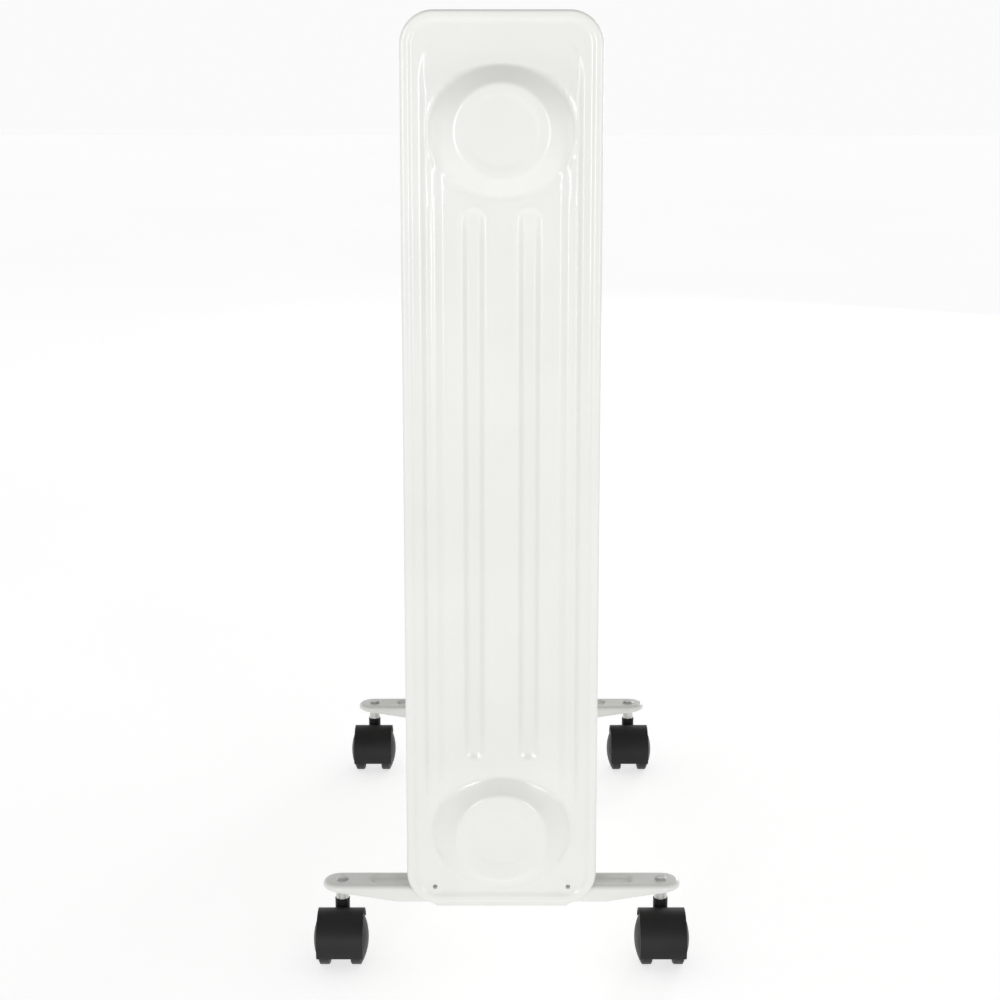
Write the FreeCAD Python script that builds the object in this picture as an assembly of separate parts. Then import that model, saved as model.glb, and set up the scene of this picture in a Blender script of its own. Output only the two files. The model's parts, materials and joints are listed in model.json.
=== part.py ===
import FreeCAD, Part
import math
import os

# Oil filled radiator heater, in millimetres. +Z is up and Z = 0 is the floor under the wheels.
# X runs across the fins and Y along the stack: the plain end faces -Y, the control end +Y.
# X = 0 and Y = 0 are the middle of the whole heater.

# fins
FIN_COUNT = 11
FIN_PITCH = 38.0
FIN_WIDTH = 125.0
FIN_HEIGHT = 582.0
FIN_BOTTOM = 45.0
FIN_CORNER = 21.0
SHEET = 0.5
RIM_WIDTH = 5.0
RIM_DEPTH = 1.9
CHAMBER_WIDTH = 97.0
CHAMBER_TOP = 603.0
CHAMBER_BOTTOM = 69.0
CHAMBER_CORNER = 30.0
CHAMBER_SLOPE = 10.0
CHAMBER_DEPTH = 5.5
GROOVE_X = 17.5
GROOVE_WIDTH = 14.0
GROOVE_TAPER = 3.0
GROOVE_BOTTOM = 148.0
GROOVE_TOP = 506.0

# bosses, whose discs are welded to the next fin's to make the two headers
UPPER_BOSS_Z = 554.0
LOWER_BOSS_Z = 94.5
BOSS_DEPTH = FIN_PITCH / 2
END_BOSS_DEPTH = 11.0
BOSS_RADIUS = 31.0
BOSS_NECK = 4.0
SKIRT_HALF_WIDTH = 48.0
SKIRT_HALF_HEIGHT = 39.0
SKIRT_SPREAD = 2.0
PORT_RADIUS = 20.0
FILLER_RADIUS = 5.0
FIXING_X = 44.0
FIXING_Z = 56.5
FIXING_UPPER_X = 30.0
FIXING_UPPER_Z = 612.5
FIXING_RADIUS = 1.5

# overall length: from the hoods of the front casters to the face of the thermostat knob
CONTROL_DEPTH = 98.0
CASTER_TRAIL = 14.0
HOOD_RADIUS = 19.2
HOOD_REACH = CASTER_TRAIL + HOOD_RADIUS - BOSS_DEPTH
LENGTH = HOOD_REACH + (FIN_COUNT - 1) * FIN_PITCH + BOSS_DEPTH + CONTROL_DEPTH
FIRST_SEAM = HOOD_REACH - LENGTH / 2
LAST_SEAM = FIRST_SEAM + (FIN_COUNT - 1) * FIN_PITCH
STACK_BACK = LAST_SEAM + BOSS_DEPTH

# feet
FOOT_YS = (FIRST_SEAM + BOSS_DEPTH, LAST_SEAM - BOSS_DEPTH)
FOOT_LENGTH = 240.0
FOOT_DEPTH = 24.0
FOOT_TOP = 52.7
FOOT_SHEET = 1.5
FOOT_RIB_LENGTH = 176.0
FOOT_RIB_WIDTH = 12.0
FOOT_RIB_DEPTH = 1.6
FOOT_LIP_Z = 39.0
FOOT_SKIRT_Z = 42.0
SADDLE_RADIUS = 34.3
U_BOLT_RADIUS = 34.0
U_BOLT_ROD = 2.5
U_BOLT_END_Z = 40.5

# casters
STEM_X = 107.25
STEM_RADIUS = 2.5
STEM_END_Z = 21.5
WHEEL_RADIUS = 17.6
WHEEL_INNER_X = 7.0
WHEEL_TREAD_X = 13.5
WHEEL_DOME_X = 18.3
WHEEL_RIM = 2.4
HUB_RADIUS = 4.5
HUB_INNER_X = 3.6
AXLE_RADIUS = 1.5
AXLE_HALF_LENGTH = 13.0
HOOD_INNER_RADIUS = 17.95
HOOD_HALF_WIDTH = 15.4
HOOD_WEB_HALF = 3.2
HOOD_BACK_ANGLE = -22.0
HOOD_FRONT_ANGLE = 25.0
NECK_RADIUS = 4.9
NECK_TOP_Z = 39.5
NECK_BOTTOM_Z = 17.0
RUNNING_CLEARANCE = 0.05

# control end
SHIELD_Y = STACK_BACK + 3.5
SHIELD_SHEET = 1.0
SHIELD_WIDTH = 128.0
HOUSING_FRONT = STACK_BACK + 5.0
HOUSING_BACK = STACK_BACK + 77.0
HOUSING_WIDTH = 150.0
HOUSING_BOTTOM = 62.0
HOUSING_TOP = 575.0
HOUSING_CORNER = 16.0
HOUSING_WALL = 2.4
HOUSING_FILLET = 7.0
PANEL_WIDTH = 118.0
PANEL_BOTTOM = 400.0
PANEL_TOP = 560.0
PANEL_THICKNESS = 3.0
PANEL_FACE = HOUSING_BACK + PANEL_THICKNESS
HANDLE_TOP = 622.0
HANDLE_LEG_X = 64.0
HANDLE_GAP_X = 49.0
HANDLE_GAP_TOP = 603.0
HANDLE_FRONT = STACK_BACK + 20.0
HANDLE_BACK = STACK_BACK + 62.0
KNOB_Z = 450.0
KNOB_RADIUS = 23.0
KNOB_GAP = 0.6
KNOB_SKIRT = 4.0
FLUTE_CIRCLE = 19.3
KNOB_REST_ANGLE = 135.0
SHAFT_RADIUS = 3.0
SWITCH_X = 22.0
SWITCH_Z = 528.0
SWITCH_TILT = 8.0
ROCKER_PIVOT_Y = PANEL_FACE - 2.5
LENS_Z = 494.0
SWITCH_HALF_WIDTH = 7.6
SWITCH_HALF_HEIGHT = 11.1
ROCKER_HALF_WIDTH = 6.5
TRUNNION_RADIUS = 1.2
GLAND_Z = 95.0
GLAND_BORE = 4.0
GLAND_NECK = 9.0
HOOK_ZS = (190.0, 330.0)
HOOK_HALF_WIDTH = 24.0
HOOK_REACH = 17.0
HOOK_SHEET = 4.0
VENT_ROWS = 12
VENT_PITCH = 12.0
VENT_HEIGHT = 3.0
SCREW_RADIUS = 1.2
SCREW_HEAD = 2.8

# inside the control end
ELEMENT_RADIUS = 3.75
ELEMENT_LEG_X = 7.5
ELEMENT_RISE = 7.5
FLANGE_BACK = STACK_BACK + 10.0
FLANGE_RADIUS = 26.0
GASKET = 1.5
GASKET_RADIUS = 22.5
TIP_OVER_Z = 240.0
TIP_OVER_Y = HOUSING_FRONT + 30.0
TIP_OVER_PIN = 1.5
TIP_OVER_CHEEK_X = 11.0
CUTOUT_Z = 160.0
CUTOUT_RADIUS = 8.0
BLOCK_Z = 122.0
TERMINAL_XS = (-47.0, -37.0, -27.0)
WIRE_RADIUS = 1.1

X_AXIS = FreeCAD.Vector(1, 0, 0)
Y_AXIS = FreeCAD.Vector(0, 1, 0)
Z_AXIS = FreeCAD.Vector(0, 0, 1)


def vec(x, y, z):
    return FreeCAD.Vector(x, y, z)


def box(x0, x1, y0, y1, z0, z1):
    return Part.makeBox(x1 - x0, y1 - y0, z1 - z0, vec(x0, y0, z0))


def rod_x(x0, x1, y, z, radius):
    return Part.makeCylinder(radius, x1 - x0, vec(x0, y, z), X_AXIS)


def rod_y(x, y0, y1, z, radius):
    return Part.makeCylinder(radius, y1 - y0, vec(x, y0, z), Y_AXIS)


def rod_z(x, y, z0, z1, radius):
    return Part.makeCylinder(radius, z1 - z0, vec(x, y, z0), Z_AXIS)


def rounded_wire(width, height, radius, y, z, x=0.0):
    """Closed outline in an XZ plane, centred on (x, z), with round corners."""
    w = width / 2 - radius
    h = height / 2 - radius
    edges = []
    for turn, (cx, cz) in enumerate(((w, h), (-w, h), (-w, -h), (w, -h))):
        start = math.radians(90 * turn)
        points = []
        for angle in (start, start + math.pi / 4, start + math.pi / 2):
            points.append(vec(x + cx + radius * math.cos(angle), y, z + cz + radius * math.sin(angle)))
        if edges:
            join(edges, points[0])
        edges.append(Part.Arc(*points).toShape())
    join(edges, edges[0].Vertexes[0].Point)
    return Part.Wire(edges)


def join(edges, point):
    """Add a straight edge from the last edge to the point, unless they already meet."""
    last = edges[-1].Vertexes[-1].Point
    if (last - point).Length > 1e-6:
        edges.append(Part.LineSegment(last, point).toShape())


def rounded_plate(width, height, radius, y0, y1, z, x=0.0):
    face = Part.Face(rounded_wire(width, height, radius, y0, z, x))
    return face.extrude(vec(0, y1 - y0, 0))


def ellipse_wire(half_width, half_height, y, z):
    ellipse = Part.Ellipse(vec(half_width, y, z), vec(0, y, z + half_height), vec(0, y, z))
    return Part.Wire(ellipse.toShape())


def prism_x(points, x0, x1):
    """Solid with a straight-sided outline of (y, z) points, from x0 to x1."""
    corners = [vec(x0, y, z) for y, z in points]
    face = Part.Face(Part.makePolygon(corners + corners[:1]))
    return face.extrude(vec(x1 - x0, 0, 0))


def prism_y(points, y0, y1):
    """Solid with a straight-sided outline of (x, z) points, from y0 to y1."""
    corners = [vec(x, y0, z) for x, z in points]
    face = Part.Face(Part.makePolygon(corners + corners[:1]))
    return face.extrude(vec(0, y1 - y0, 0))


def round_path(points):
    """Straight runs through the points, joined by the largest tangent arcs that fit."""
    edges = []
    start = points[0]
    for before, corner, after in zip(points, points[1:], points[2:]):
        reach = 0.45 * min((before - corner).Length, (after - corner).Length)
        inward = (before - corner).normalize()
        outward = (after - corner).normalize()
        half_turn = (math.pi - inward.getAngle(outward)) / 2
        bend = reach / math.tan(half_turn)
        middle = (inward + outward).normalize() * (bend / math.cos(half_turn) - bend)
        arc = Part.Arc(corner + inward * reach, corner + middle, corner + outward * reach)
        edges.append(Part.LineSegment(start, corner + inward * reach).toShape())
        edges.append(arc.toShape())
        start = corner + outward * reach
    edges.append(Part.LineSegment(start, points[-1]).toShape())
    return Part.Wire(edges)


def tube(path, radius):
    """Round rod swept along a path of straight runs and arcs."""
    first = path.Edges[0]
    start = first.Vertexes[0].Point
    along = first.tangentAt(first.FirstParameter)
    ring = Part.Wire(Part.makeCircle(radius, start, along))
    return path.makePipeShell([ring], True, True)


def write(node, *solids):
    """Write one node's solids as a STEP file."""
    shape = solids[0] if len(solids) == 1 else Part.makeCompound(list(solids))
    for solid in shape.Solids:
        if not solid.isValid():
            raise ValueError(node + " holds an invalid solid")
    shape.exportStep("parts/" + node + ".step")
    print(node, len(shape.Solids), round(shape.Volume / 1000, 2), "cm3")


# ---------------------------------------------------------------- fins


def chamber_mass(inset):
    """The raised oil chamber of the front half-shell, outer face for inset 0."""
    width = CHAMBER_WIDTH - 2 * inset
    height = CHAMBER_TOP - CHAMBER_BOTTOM - 2 * inset
    middle = (CHAMBER_TOP + CHAMBER_BOTTOM) / 2
    slope = 2 * CHAMBER_SLOPE
    base = rounded_wire(width, height, CHAMBER_CORNER - inset, 0, middle)
    crown_corner = CHAMBER_CORNER - inset - CHAMBER_SLOPE
    crown = rounded_wire(width - slope, height - slope, crown_corner, inset - CHAMBER_DEPTH, middle)
    return Part.makeLoft([base, crown], True, True)


def groove_mass(side, outset):
    """One vertical groove pressed back to the seam, where the two halves are welded."""
    height = GROOVE_TOP - GROOVE_BOTTOM + 2 * outset
    middle = (GROOVE_TOP + GROOVE_BOTTOM) / 2
    width = GROOVE_WIDTH + 2 * outset
    narrow = width - 2 * GROOVE_TAPER
    floor_y = -SHEET if outset == 0 else 1.0
    mouth_y = -CHAMBER_DEPTH - 1.0
    short = height - 2 * GROOVE_TAPER
    x = side * GROOVE_X
    floor = rounded_wire(narrow, short, narrow / 2 - 0.01, floor_y, middle, x)
    mouth = rounded_wire(width, height, width / 2 - 0.01, mouth_y, middle, x)
    return Part.makeLoft([floor, mouth], True, True)


def boss_mass(z, inset, depth):
    """One boss: an oval skirt that narrows to a round neck with a flat disc."""
    half_width = SKIRT_HALF_WIDTH - inset
    half_height = SKIRT_HALF_HEIGHT - inset
    radius = BOSS_RADIUS - inset
    sections = [
        ellipse_wire(half_width + SKIRT_SPREAD, half_height + SKIRT_SPREAD, 0, z),
        ellipse_wire(half_width, half_height, inset - CHAMBER_DEPTH, z),
        ellipse_wire(radius, radius - 0.001, inset - depth, z),
    ]
    if depth == BOSS_DEPTH:
        sections.insert(2, ellipse_wire(radius + 0.5, radius + 0.499, inset - depth + BOSS_NECK, z))
    return Part.makeLoft(sections, True, True)


def half_shell(upper_port, lower_port, fixings, depth=BOSS_DEPTH):
    """Front half of a fin, with its seam face at Y = 0 and its boss discs facing -Y."""
    middle = FIN_BOTTOM + FIN_HEIGHT / 2
    outer = rounded_plate(FIN_WIDTH, FIN_HEIGHT, FIN_CORNER, -SHEET, 0, middle)
    rim = rounded_plate(FIN_WIDTH, FIN_HEIGHT, FIN_CORNER, -RIM_DEPTH, 0, middle)
    inside_width = FIN_WIDTH - 2 * RIM_WIDTH
    inside_height = FIN_HEIGHT - 2 * RIM_WIDTH
    inside_corner = FIN_CORNER - RIM_WIDTH
    rim = rim.cut(rounded_plate(inside_width, inside_height, inside_corner, -RIM_DEPTH, 0, middle))
    pressed = chamber_mass(0).fuse([boss_mass(UPPER_BOSS_Z, 0, depth), boss_mass(LOWER_BOSS_Z, 0, depth)])
    pressed = pressed.cut([groove_mass(-1, 0), groove_mass(1, 0)])
    hollow = chamber_mass(SHEET)
    hollow = hollow.fuse([boss_mass(UPPER_BOSS_Z, SHEET, depth), boss_mass(LOWER_BOSS_Z, SHEET, depth)])
    hollow = hollow.cut([groove_mass(-1, SHEET), groove_mass(1, SHEET)])
    shell = outer.fuse([rim, pressed]).cut(hollow)
    holes = []
    if upper_port:
        holes.append(rod_y(0, -BOSS_DEPTH - 1, 1, UPPER_BOSS_Z, upper_port))
    if lower_port:
        holes.append(rod_y(0, -BOSS_DEPTH - 1, 1, LOWER_BOSS_Z, lower_port))
    for side in (-1, 1) if fixings else ():
        holes.append(rod_y(side * FIXING_X, -5, 1, FIXING_Z, FIXING_RADIUS))
    if fixings == "both":
        for side in (-1, 1):
            holes.append(rod_y(side * FIXING_UPPER_X, -5, 1, FIXING_UPPER_Z, FIXING_RADIUS))
    if holes:
        shell = shell.cut(holes)
    return shell.removeSplitter().Solids[0]


def write_fins():
    closed_end = half_shell(0, 0, "lower", END_BOSS_DEPTH)
    inner = half_shell(PORT_RADIUS, PORT_RADIUS, "")
    first_back = half_shell(PORT_RADIUS, PORT_RADIUS, "lower")
    last_front = half_shell(PORT_RADIUS, PORT_RADIUS, "both")
    control_end = half_shell(FILLER_RADIUS, PORT_RADIUS, "both")
    for number in range(1, FIN_COUNT + 1):
        front, back = inner, inner
        if number == 1:
            front, back = closed_end, first_back
        if number == FIN_COUNT:
            front, back = last_front, control_end
        seam = vec(0, FIRST_SEAM + (number - 1) * FIN_PITCH, 0)
        front_half = front.copy()
        back_half = back.mirror(vec(0, 0, 0), Y_AXIS)
        front_half.translate(seam)
        back_half.translate(seam)
        write("fin_%02d" % number, front_half, back_half)


def write_filler_plug():
    head = rod_y(0, STACK_BACK, STACK_BACK + 2, UPPER_BOSS_Z, 7.5)
    shank = rod_y(0, STACK_BACK - 6, STACK_BACK, UPPER_BOSS_Z, FILLER_RADIUS)
    socket = rod_y(0, STACK_BACK, STACK_BACK + 2, UPPER_BOSS_Z, 2.5)
    write("oil_filler_plug", head.fuse(shank).cut(socket))


# ---------------------------------------------------------------- heating elements


def hairpin(z, bend_y):
    """Sheathed heating tube: out along one leg, round the bend and back."""
    start = vec(-ELEMENT_LEG_X, FLANGE_BACK + 2, z)
    end = vec(ELEMENT_LEG_X, FLANGE_BACK + 2, z)
    near = vec(-ELEMENT_LEG_X, bend_y, z)
    far = vec(ELEMENT_LEG_X, bend_y, z)
    tip = vec(0, bend_y - ELEMENT_LEG_X, z)
    edges = [
        Part.LineSegment(start, near).toShape(),
        Part.Arc(near, tip, far).toShape(),
        Part.LineSegment(far, end).toShape(),
    ]
    return tube(Part.Wire(edges), ELEMENT_RADIUS)


def element_legs():
    for z in (LOWER_BOSS_Z - ELEMENT_RISE, LOWER_BOSS_Z + ELEMENT_RISE):
        for x in (-ELEMENT_LEG_X, ELEMENT_LEG_X):
            yield x, z


def write_elements():
    write("element_long", hairpin(LOWER_BOSS_Z - ELEMENT_RISE, FIRST_SEAM + FIN_PITCH))
    write("element_short", hairpin(LOWER_BOSS_Z + ELEMENT_RISE, FIRST_SEAM + 5 * FIN_PITCH))
    hexagon = []
    for corner in range(6):
        angle = math.radians(60 * corner)
        hexagon.append((FLANGE_RADIUS * math.cos(angle), LOWER_BOSS_Z + FLANGE_RADIUS * math.sin(angle)))
    flange = prism_y(hexagon, STACK_BACK + GASKET, FLANGE_BACK)
    flange = flange.fuse(rod_y(0, STACK_BACK - 10, STACK_BACK + GASKET, LOWER_BOSS_Z, PORT_RADIUS - 0.2))
    legs = [rod_y(x, STACK_BACK - 12, FLANGE_BACK + 1, z, ELEMENT_RADIUS) for x, z in element_legs()]
    write("element_flange", flange.cut(legs))
    gasket = rod_y(0, STACK_BACK, STACK_BACK + GASKET, LOWER_BOSS_Z, GASKET_RADIUS)
    bore = rod_y(0, STACK_BACK, STACK_BACK + GASKET, LOWER_BOSS_Z, PORT_RADIUS - 0.2)
    write("element_gasket", gasket.cut(bore))
    terminals = []
    for x, z in element_legs():
        pin = rod_y(x, FLANGE_BACK + 2, FLANGE_BACK + 8, z, 2.2)
        blade = box(x - 0.4, x + 0.4, FLANGE_BACK + 8, FLANGE_BACK + 18, z - 3.1, z + 3.1)
        terminals.append(pin.fuse(blade))
    write("element_terminals", *terminals)


# ---------------------------------------------------------------- feet


def foot_channel():
    """Pressed channel, open below, with round tips and a skirt that rises towards them."""
    body = slot_z(FOOT_LENGTH, FOOT_DEPTH, FOOT_LIP_Z, FOOT_TOP)
    walls = 2 * FOOT_SHEET
    inside = slot_z(FOOT_LENGTH - walls, FOOT_DEPTH - walls, FOOT_LIP_Z, FOOT_TOP - FOOT_SHEET)
    rib = slot_z(FOOT_RIB_LENGTH, FOOT_RIB_WIDTH, FOOT_TOP - FOOT_RIB_DEPTH, FOOT_TOP)
    rib_under = slot_z(
        FOOT_RIB_LENGTH + walls,
        FOOT_RIB_WIDTH + walls,
        FOOT_TOP - FOOT_RIB_DEPTH - FOOT_SHEET,
        FOOT_TOP - FOOT_SHEET,
    )
    channel = body.cut(inside).fuse(rib_under).cut(rib)
    lip = [(0, FOOT_LIP_Z), (44, FOOT_LIP_Z)]
    skirt = [(47, FOOT_SKIRT_Z), (70, FOOT_SKIRT_Z), (104, 47.5), (121, 49.5)]
    outline = lip + skirt + [(121, FOOT_TOP + 30), (0, FOOT_TOP + 30)]
    keep = prism_y(outline, -FOOT_DEPTH, FOOT_DEPTH)
    keep = keep.fuse(keep.mirror(vec(0, 0, 0), X_AXIS))
    return channel.common(keep).removeSplitter()


def slot_z(length, width, z0, z1):
    """Prism along Z with a slot-shaped outline that runs along X."""
    r = width / 2
    x = length / 2 - r
    edges = [
        Part.LineSegment(vec(-x, -r, z0), vec(x, -r, z0)).toShape(),
        Part.Arc(vec(x, -r, z0), vec(x + r, 0, z0), vec(x, r, z0)).toShape(),
        Part.LineSegment(vec(x, r, z0), vec(-x, r, z0)).toShape(),
        Part.Arc(vec(-x, r, z0), vec(-x - r, 0, z0), vec(-x, -r, z0)).toShape(),
    ]
    return Part.Face(Part.Wire(edges)).extrude(vec(0, 0, z1 - z0))


def foot_bracket():
    """The channel with two saddle tabs under the lower header, and its bolt and stem holes."""
    channel = foot_channel()
    header = rod_y(0, -20, 20, LOWER_BOSS_Z, SADDLE_RADIUS)
    tabs = []
    for y in (-3.8, 2.3):
        tab = box(-26, 26, y, y + FOOT_SHEET, FOOT_TOP - FOOT_RIB_DEPTH - FOOT_SHEET, FOOT_TOP + 18)
        tabs.append(tab.cut(header))
    channel = channel.fuse(tabs)
    holes = []
    for side in (-1, 1):
        holes.append(rod_z(side * U_BOLT_RADIUS, 0, FOOT_LIP_Z, FOOT_TOP + 1, U_BOLT_ROD + 0.2))
        holes.append(rod_z(side * STEM_X, 0, FOOT_LIP_Z, FOOT_TOP + 1, STEM_RADIUS))
    return channel.cut(holes).removeSplitter().Solids[0]


def u_bolt():
    """Rod bent over the lower header, with both ends down through the foot."""
    r = U_BOLT_RADIUS
    z = LOWER_BOSS_Z
    edges = [
        Part.LineSegment(vec(-r, 0, U_BOLT_END_Z), vec(-r, 0, z)).toShape(),
        Part.Arc(vec(-r, 0, z), vec(0, 0, z + r), vec(r, 0, z)).toShape(),
        Part.LineSegment(vec(r, 0, z), vec(r, 0, U_BOLT_END_Z)).toShape(),
    ]
    return tube(Part.Wire(edges), U_BOLT_ROD)


def wing_nut(x, y):
    top = FOOT_TOP - FOOT_RIB_DEPTH - FOOT_SHEET
    body = Part.makeCone(5.4, 4.4, 5, vec(x, y, top - 5), Z_AXIS)
    wings = box(x - 10, x + 10, y - 1, y + 1, top - 9, top - 2)
    return body.fuse(wings).cut(rod_z(x, y, top - 10, top + 1, U_BOLT_ROD))


def write_feet():
    foot = foot_bracket()
    bolt = u_bolt()
    nuts = []
    for name, y in zip(("front", "rear"), FOOT_YS):
        placed_foot = foot.copy()
        placed_foot.translate(vec(0, y, 0))
        write(name + "_foot_bracket", placed_foot)
        placed_bolt = bolt.copy()
        placed_bolt.translate(vec(0, y, 0))
        write(name + "_u_bolt", placed_bolt)
        for side in (-1, 1):
            nuts.append(wing_nut(side * U_BOLT_RADIUS, y))
    write("wing_nuts", *nuts)


# ---------------------------------------------------------------- casters


def caster_stem():
    """Stem riveted into the foot, with a collar below the sheet; its axis is X = Y = 0."""
    shaft = rod_z(0, 0, STEM_END_Z, FOOT_TOP, STEM_RADIUS)
    collar_bottom = NECK_TOP_Z + 0.3
    collar_height = FOOT_TOP - FOOT_SHEET - collar_bottom
    collar = Part.makeCone(4.4, 3.4, collar_height, vec(0, 0, collar_bottom), Z_AXIS)
    head = Part.makeCone(4.4, 3.0, 1.6, vec(0, 0, FOOT_TOP), Z_AXIS)
    return shaft.fuse([collar, head]).removeSplitter()


def sector_x(inner, outer, x0, x1):
    """Part of a ring about the axle, from below the stem in front over the top to the back."""
    rim = hood_arc(outer, x0)
    edges = [Part.Arc(*rim).toShape()]
    if inner:
        bore = hood_arc(inner, x0)
        edges.append(Part.LineSegment(rim[2], bore[2]).toShape())
        edges.append(Part.Arc(bore[2], bore[1], bore[0]).toShape())
        edges.append(Part.LineSegment(bore[0], rim[0]).toShape())
    else:
        centre = vec(x0, -CASTER_TRAIL, WHEEL_RADIUS)
        edges.append(Part.LineSegment(rim[2], centre).toShape())
        edges.append(Part.LineSegment(centre, rim[0]).toShape())
    return Part.Face(Part.Wire(edges)).extrude(vec(x1 - x0, 0, 0))


def hood_arc(radius, x):
    """Start, middle and end of the hood's arc about the axle."""
    points = []
    for degrees in (HOOD_FRONT_ANGLE, 105.0, 180.0 - HOOD_BACK_ANGLE):
        angle = math.radians(degrees)
        y = radius * math.cos(angle) - CASTER_TRAIL
        z = radius * math.sin(angle) + WHEEL_RADIUS
        points.append(vec(x, y, z))
    return points


def caster_hood():
    """Cover over both wheels with a middle web and the neck that turns on the stem.

    The stem's axis is X = Y = 0 and the axle lies at Y = -CASTER_TRAIL.
    """
    y = -CASTER_TRAIL
    z = WHEEL_RADIUS
    arch = sector_x(HOOD_INNER_RADIUS, HOOD_RADIUS, -HOOD_HALF_WIDTH, HOOD_HALF_WIDTH)
    web = sector_x(0, (HOOD_INNER_RADIUS + HOOD_RADIUS) / 2, -HOOD_WEB_HALF, HOOD_WEB_HALF)
    hub = rod_x(-HOOD_WEB_HALF, HOOD_WEB_HALF, y, z, HUB_RADIUS)
    strut = box(-HOOD_WEB_HALF, HOOD_WEB_HALF, y, 0, z - 3, z + 8)
    neck = rod_z(0, 0, NECK_BOTTOM_Z, NECK_TOP_Z, NECK_RADIUS)
    hood = arch.fuse([web, hub, strut, neck])
    stem_bore = rod_z(0, 0, STEM_END_Z - 1, NECK_TOP_Z, STEM_RADIUS + RUNNING_CLEARANCE)
    axle_bore = rod_x(-30, 30, y, z, AXLE_RADIUS)
    return hood.cut([stem_bore, axle_bore]).removeSplitter().Solids[0]


def caster_axle():
    return rod_x(-AXLE_HALF_LENGTH, AXLE_HALF_LENGTH, -CASTER_TRAIL, WHEEL_RADIUS, AXLE_RADIUS)


def caster_wheel(side):
    """Moulded wheel with a domed outer face and a hub that runs on the axle."""
    bore_end = AXLE_HALF_LENGTH + 0.4
    wall = WHEEL_DOME_X - 2.2
    tread = vec(WHEEL_TREAD_X, 0, WHEEL_RADIUS)
    points = [
        vec(wall, 0, 0),
        vec(WHEEL_DOME_X, 0, 0),
        tread,
        vec(WHEEL_INNER_X + 0.8, 0, WHEEL_RADIUS),
        vec(WHEEL_INNER_X, 0, WHEEL_RADIUS - 0.8),
        vec(WHEEL_INNER_X, 0, WHEEL_RADIUS - WHEEL_RIM),
        vec(WHEEL_TREAD_X - 1.5, 0, WHEEL_RADIUS - WHEEL_RIM - 0.6),
        vec(wall - 0.6, 0, HUB_RADIUS),
        vec(HUB_INNER_X, 0, HUB_RADIUS),
        vec(HUB_INNER_X, 0, AXLE_RADIUS + RUNNING_CLEARANCE),
        vec(bore_end, 0, AXLE_RADIUS + RUNNING_CLEARANCE),
        vec(bore_end, 0, 0),
    ]
    mid = vec((WHEEL_DOME_X + WHEEL_TREAD_X) / 2 + 1.1, 0, WHEEL_RADIUS * 0.54)
    edges = [Part.Arc(points[1], mid, points[2]).toShape()]
    for a, b in zip(points[2:], points[3:] + [points[1]]):
        edges.append(Part.LineSegment(a, b).toShape())
    wheel = Part.Face(Part.Wire(edges)).revolve(vec(0, 0, 0), X_AXIS, 360)
    if side < 0:
        wheel = wheel.mirror(vec(0, 0, 0), X_AXIS)
    wheel.translate(vec(0, -CASTER_TRAIL, WHEEL_RADIUS))
    return wheel.Solids[0]


def write_casters():
    stems = []
    for end, y in zip("fr", FOOT_YS):
        for hand, x in zip("lr", (-STEM_X, STEM_X)):
            at = vec(x, y, 0)
            corner = end + hand
            stem = caster_stem()
            stem.translate(at)
            stems.append(stem)
            hood = caster_hood()
            hood.translate(at)
            write("caster_hood_" + corner, hood)
            axle = caster_axle()
            axle.translate(at)
            write("caster_axle_" + corner, axle)
            for side, label in ((-1, "left"), (1, "right")):
                wheel = caster_wheel(side)
                wheel.translate(at)
                write("wheel_" + corner + "_" + label, wheel)
    write("caster_stems", *stems)


# ---------------------------------------------------------------- heat shield and housing


def shield_leg(x, z):
    """Bent strap from the heat shield to the last fin, with a screw hole in its foot."""
    face = LAST_SEAM + SHEET
    foot = box(x - 4.5, x + 4.5, face, face + SHIELD_SHEET, z - 4, z + 4)
    inward = -1 if z > HOUSING_TOP / 2 else 1
    edge = z + inward * 4
    low, high = sorted((edge, edge - inward * SHIELD_SHEET))
    arm = box(x - 4.5, x + 4.5, face, SHIELD_Y + SHIELD_SHEET, low, high)
    return foot.fuse(arm).cut(rod_y(x, face, face + SHIELD_SHEET, z, FIXING_RADIUS))


def shield_feet():
    for side in (-1, 1):
        yield side * FIXING_X, FIXING_Z
        yield side * FIXING_UPPER_X, FIXING_UPPER_Z


def write_heat_shield():
    bottom = FIXING_Z + 3
    top = FIXING_UPPER_Z - 3
    half = SHIELD_WIDTH / 2
    back = SHIELD_Y + SHIELD_SHEET
    plate = box(-half, half, SHIELD_Y, back, bottom, HOUSING_TOP - 8)
    tongue = box(-37, 37, SHIELD_Y, back, HOUSING_TOP - 8, top)
    shield = plate.fuse(tongue)
    shield = shield.cut(rod_y(0, SHIELD_Y - 1, SHIELD_Y + 3, LOWER_BOSS_Z, 28))
    slots = []
    for row in range(8):
        z = 190 + 40 * row
        slots.append(rounded_plate(60, 3, 1.4, SHIELD_Y - 1, SHIELD_Y + 3, z))
    shield = shield.cut(slots)
    shield = shield.fuse([shield_leg(x, z) for x, z in shield_feet()])
    holes = [rod_y(x, SHIELD_Y - 1, SHIELD_Y + 3, z, 1.6) for x, z in housing_screw_places()]
    write("heat_shield", shield.cut(holes).removeSplitter())


def housing_screw_places():
    for side in (-1, 1):
        for z in (HOUSING_BOTTOM + 24, 360.0, HOUSING_TOP - 24):
            yield side * 56.0, z


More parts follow.
